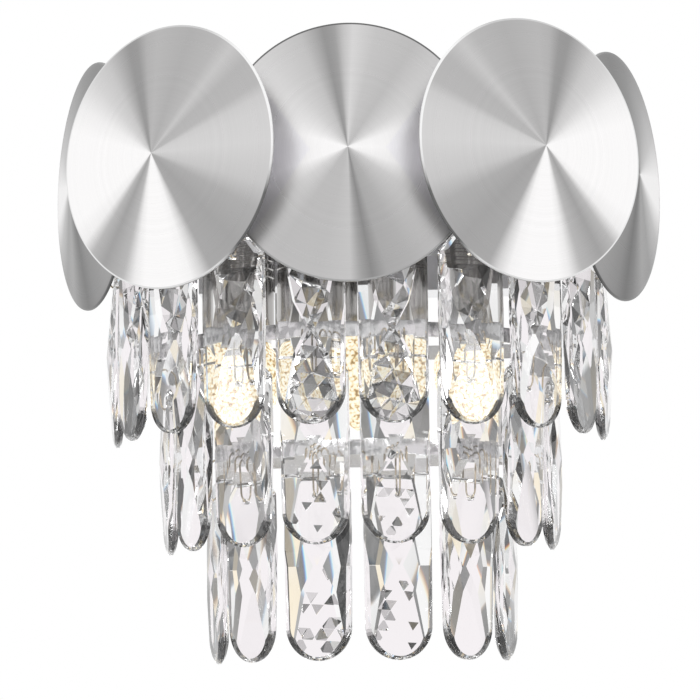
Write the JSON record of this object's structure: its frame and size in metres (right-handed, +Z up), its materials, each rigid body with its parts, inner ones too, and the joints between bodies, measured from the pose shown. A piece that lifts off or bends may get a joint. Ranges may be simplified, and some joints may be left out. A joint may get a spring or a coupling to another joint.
{
  "type": "crystal wall light",
  "caption": "Half-round wall light: spun steel discs above three tiers of faceted crystals on half-round bands, with candle bulbs inside.",
  "frame": {"origin": "centre of the wall bracket's two slotted holes, on the wall's plane", "axes": "+Z up, -Y out of the wall into the room, +X to the right as seen from the room"},
  "size_m": [0.3018, 0.1875, 0.2903],
  "materials": {
    "crystal": "clear, ground and polished facets",
    "spun_steel": "finely turned, bright",
    "polished_steel": "mirror polished",
    "clip_wire": "bright drawn wire",
    "zinc_steel": "bright zinc plating",
    "brass": "turned, satin",
    "bulb_glass": "warm frosted glass",
    "cap_metal": "rolled, satin",
    "holder_plastic": "matte heat-resistant moulding",
    "terminal_plastic": "matte moulding",
    "lead_insulation": "heat-resistant sleeve",
    "grommet_rubber": "matte black"
  },
  "bodies": {
    "fixture": {"bulb_caps": "cap_metal", "bulb_center": "bulb_glass", "bulb_left": "bulb_glass", "bulb_right": "bulb_glass", "cable_grommet": "grommet_rubber", "cap_nuts": "polished_steel", "clamp_screws": "zinc_steel", "disc_center": "spun_steel", "disc_far_left": "spun_steel", "disc_far_right": "spun_steel", "disc_left": "spun_steel", "disc_nuts": "zinc_steel", "disc_rail": "polished_steel", "disc_right": "spun_steel", "earth_screw": "brass", "hooks_lower": "clip_wire", "hooks_middle": "clip_wire", "hooks_upper": "clip_wire", "housing": "polished_steel", "lamp_leads": "lead_insulation", "lamp_shelf": "zinc_steel", "lampholder_center": "holder_plastic", "lampholder_left": "holder_plastic", "lampholder_right": "holder_plastic", "nipple_nuts": "brass", "nipples": "brass", "ring_lower": "polished_steel", "ring_middle": "polished_steel", "ring_posts": "polished_steel", "ring_upper": "polished_steel", "strap_screws": "zinc_steel", "terminal_block": "terminal_plastic", "terminal_screws": "zinc_steel", "wall_bracket": "zinc_steel"},
    "crystal_upper_1": {"crystal_upper_1": "crystal"},
    "crystal_upper_2": {"crystal_upper_2": "crystal"},
    "crystal_upper_3": {"crystal_upper_3": "crystal"},
    "crystal_upper_4": {"crystal_upper_4": "crystal"},
    "crystal_upper_5": {"crystal_upper_5": "crystal"},
    "crystal_upper_6": {"crystal_upper_6": "crystal"},
    "crystal_upper_7": {"crystal_upper_7": "crystal"},
    "crystal_upper_8": {"crystal_upper_8": "crystal"},
    "crystal_upper_9": {"crystal_upper_9": "crystal"},
    "crystal_upper_10": {"crystal_upper_10": "crystal"},
    "crystal_middle_1": {"crystal_middle_1": "crystal"},
    "crystal_middle_2": {"crystal_middle_2": "crystal"},
    "crystal_middle_3": {"crystal_middle_3": "crystal"},
    "crystal_middle_4": {"crystal_middle_4": "crystal"},
    "crystal_middle_5": {"crystal_middle_5": "crystal"},
    "crystal_middle_6": {"crystal_middle_6": "crystal"},
    "crystal_middle_7": {"crystal_middle_7": "crystal"},
    "crystal_middle_8": {"crystal_middle_8": "crystal"},
    "crystal_lower_1": {"crystal_lower_1": "crystal"},
    "crystal_lower_2": {"crystal_lower_2": "crystal"},
    "crystal_lower_3": {"crystal_lower_3": "crystal"},
    "crystal_lower_4": {"crystal_lower_4": "crystal"},
    "crystal_lower_5": {"crystal_lower_5": "crystal"},
    "crystal_lower_6": {"crystal_lower_6": "crystal"}
  },
  "joints": [
    {"name": "crystal_upper_1_swing", "type": "hinge", "parent": "fixture", "child": "crystal_upper_1", "pos_m": [-0.11852, -0.04677, -0.06279], "axis": [-0.1564, 0.9877, 0], "range_deg": [-10, 10]},
    {"name": "crystal_upper_2_swing", "type": "hinge", "parent": "fixture", "child": "crystal_upper_2", "pos_m": [-0.10692, -0.08248, -0.06279], "axis": [-0.454, 0.891, 0], "range_deg": [-10, 10]},
    {"name": "crystal_upper_3_swing", "type": "hinge", "parent": "fixture", "child": "crystal_upper_3", "pos_m": [-0.08485, -0.11285, -0.06279], "axis": [-0.7071, 0.7071, 0], "range_deg": [-10, 10]},
    {"name": "crystal_upper_4_swing", "type": "hinge", "parent": "fixture", "child": "crystal_upper_4", "pos_m": [-0.05448, -0.13492, -0.06279], "axis": [-0.891, 0.454, 0], "range_deg": [-10, 10]},
    {"name": "crystal_upper_5_swing", "type": "hinge", "parent": "fixture", "child": "crystal_upper_5", "pos_m": [-0.01877, -0.14652, -0.06279], "axis": [-0.9877, 0.1564, 0], "range_deg": [-10, 10]},
    {"name": "crystal_upper_6_swing", "type": "hinge", "parent": "fixture", "child": "crystal_upper_6", "pos_m": [0.01877, -0.14652, -0.06279], "axis": [-0.9877, -0.1564, 0], "range_deg": [-10, 10]},
    {"name": "crystal_upper_7_swing", "type": "hinge", "parent": "fixture", "child": "crystal_upper_7", "pos_m": [0.05448, -0.13492, -0.06279], "axis": [-0.891, -0.454, 0], "range_deg": [-10, 10]},
    {"name": "crystal_upper_8_swing", "type": "hinge", "parent": "fixture", "child": "crystal_upper_8", "pos_m": [0.08485, -0.11285, -0.06279], "axis": [-0.7071, -0.7071, 0], "range_deg": [-10, 10]},
    {"name": "crystal_upper_9_swing", "type": "hinge", "parent": "fixture", "child": "crystal_upper_9", "pos_m": [0.10692, -0.08248, -0.06279], "axis": [-0.454, -0.891, 0], "range_deg": [-10, 10]},
    {"name": "crystal_upper_10_swing", "type": "hinge", "parent": "fixture", "child": "crystal_upper_10", "pos_m": [0.11852, -0.04677, -0.06279], "axis": [-0.1564, -0.9877, 0], "range_deg": [-10, 10]},
    {"name": "crystal_middle_1_swing", "type": "hinge", "parent": "fixture", "child": "crystal_middle_1", "pos_m": [-0.09268, -0.04644, -0.11579], "axis": [-0.1951, 0.9808, 0], "range_deg": [-7, 12]},
    {"name": "crystal_middle_2_swing", "type": "hinge", "parent": "fixture", "child": "crystal_middle_2", "pos_m": [-0.07857, -0.0805, -0.11579], "axis": [-0.5556, 0.8315, 0], "range_deg": [-7, 12]},
    {"name": "crystal_middle_3_swing", "type": "hinge", "parent": "fixture", "child": "crystal_middle_3", "pos_m": [-0.0525, -0.10657, -0.11579], "axis": [-0.8315, 0.5556, 0], "range_deg": [-7, 12]},
    {"name": "crystal_middle_4_swing", "type": "hinge", "parent": "fixture", "child": "crystal_middle_4", "pos_m": [-0.01844, -0.12068, -0.11579], "axis": [-0.9808, 0.1951, 0], "range_deg": [-7, 12]},
    {"name": "crystal_middle_5_swing", "type": "hinge", "parent": "fixture", "child": "crystal_middle_5", "pos_m": [0.01844, -0.12068, -0.11579], "axis": [-0.9808, -0.1951, 0], "range_deg": [-7, 12]},
    {"name": "crystal_middle_6_swing", "type": "hinge", "parent": "fixture", "child": "crystal_middle_6", "pos_m": [0.0525, -0.10657, -0.11579], "axis": [-0.8315, -0.5556, 0], "range_deg": [-7, 12]},
    {"name": "crystal_middle_7_swing", "type": "hinge", "parent": "fixture", "child": "crystal_middle_7", "pos_m": [0.07857, -0.0805, -0.11579], "axis": [-0.5556, -0.8315, 0], "range_deg": [-7, 12]},
    {"name": "crystal_middle_8_swing", "type": "hinge", "parent": "fixture", "child": "crystal_middle_8", "pos_m": [0.09268, -0.04644, -0.11579], "axis": [-0.1951, -0.9808, 0], "range_deg": [-7, 12]},
    {"name": "crystal_lower_1_swing", "type": "hinge", "parent": "fixture", "child": "crystal_lower_1", "pos_m": [-0.06955, -0.04664, -0.16879], "axis": [-0.2588, 0.9659, 0], "range_deg": [-5, 12]},
    {"name": "crystal_lower_2_swing", "type": "hinge", "parent": "fixture", "child": "crystal_lower_2", "pos_m": [-0.05091, -0.07891, -0.16879], "axis": [-0.7071, 0.7071, 0], "range_deg": [-5, 12]},
    {"name": "crystal_lower_3_swing", "type": "hinge", "parent": "fixture", "child": "crystal_lower_3", "pos_m": [-0.01863, -0.09755, -0.16879], "axis": [-0.9659, 0.2588, 0], "range_deg": [-5, 12]},
    {"name": "crystal_lower_4_swing", "type": "hinge", "parent": "fixture", "child": "crystal_lower_4", "pos_m": [0.01863, -0.09755, -0.16879], "axis": [-0.9659, -0.2588, 0], "range_deg": [-5, 12]},
    {"name": "crystal_lower_5_swing", "type": "hinge", "parent": "fixture", "child": "crystal_lower_5", "pos_m": [0.05091, -0.07891, -0.16879], "axis": [-0.7071, -0.7071, 0], "range_deg": [-5, 12]},
    {"name": "crystal_lower_6_swing", "type": "hinge", "parent": "fixture", "child": "crystal_lower_6", "pos_m": [0.06955, -0.04664, -0.16879], "axis": [-0.2588, -0.9659, 0], "range_deg": [-5, 12]}
  ]
}
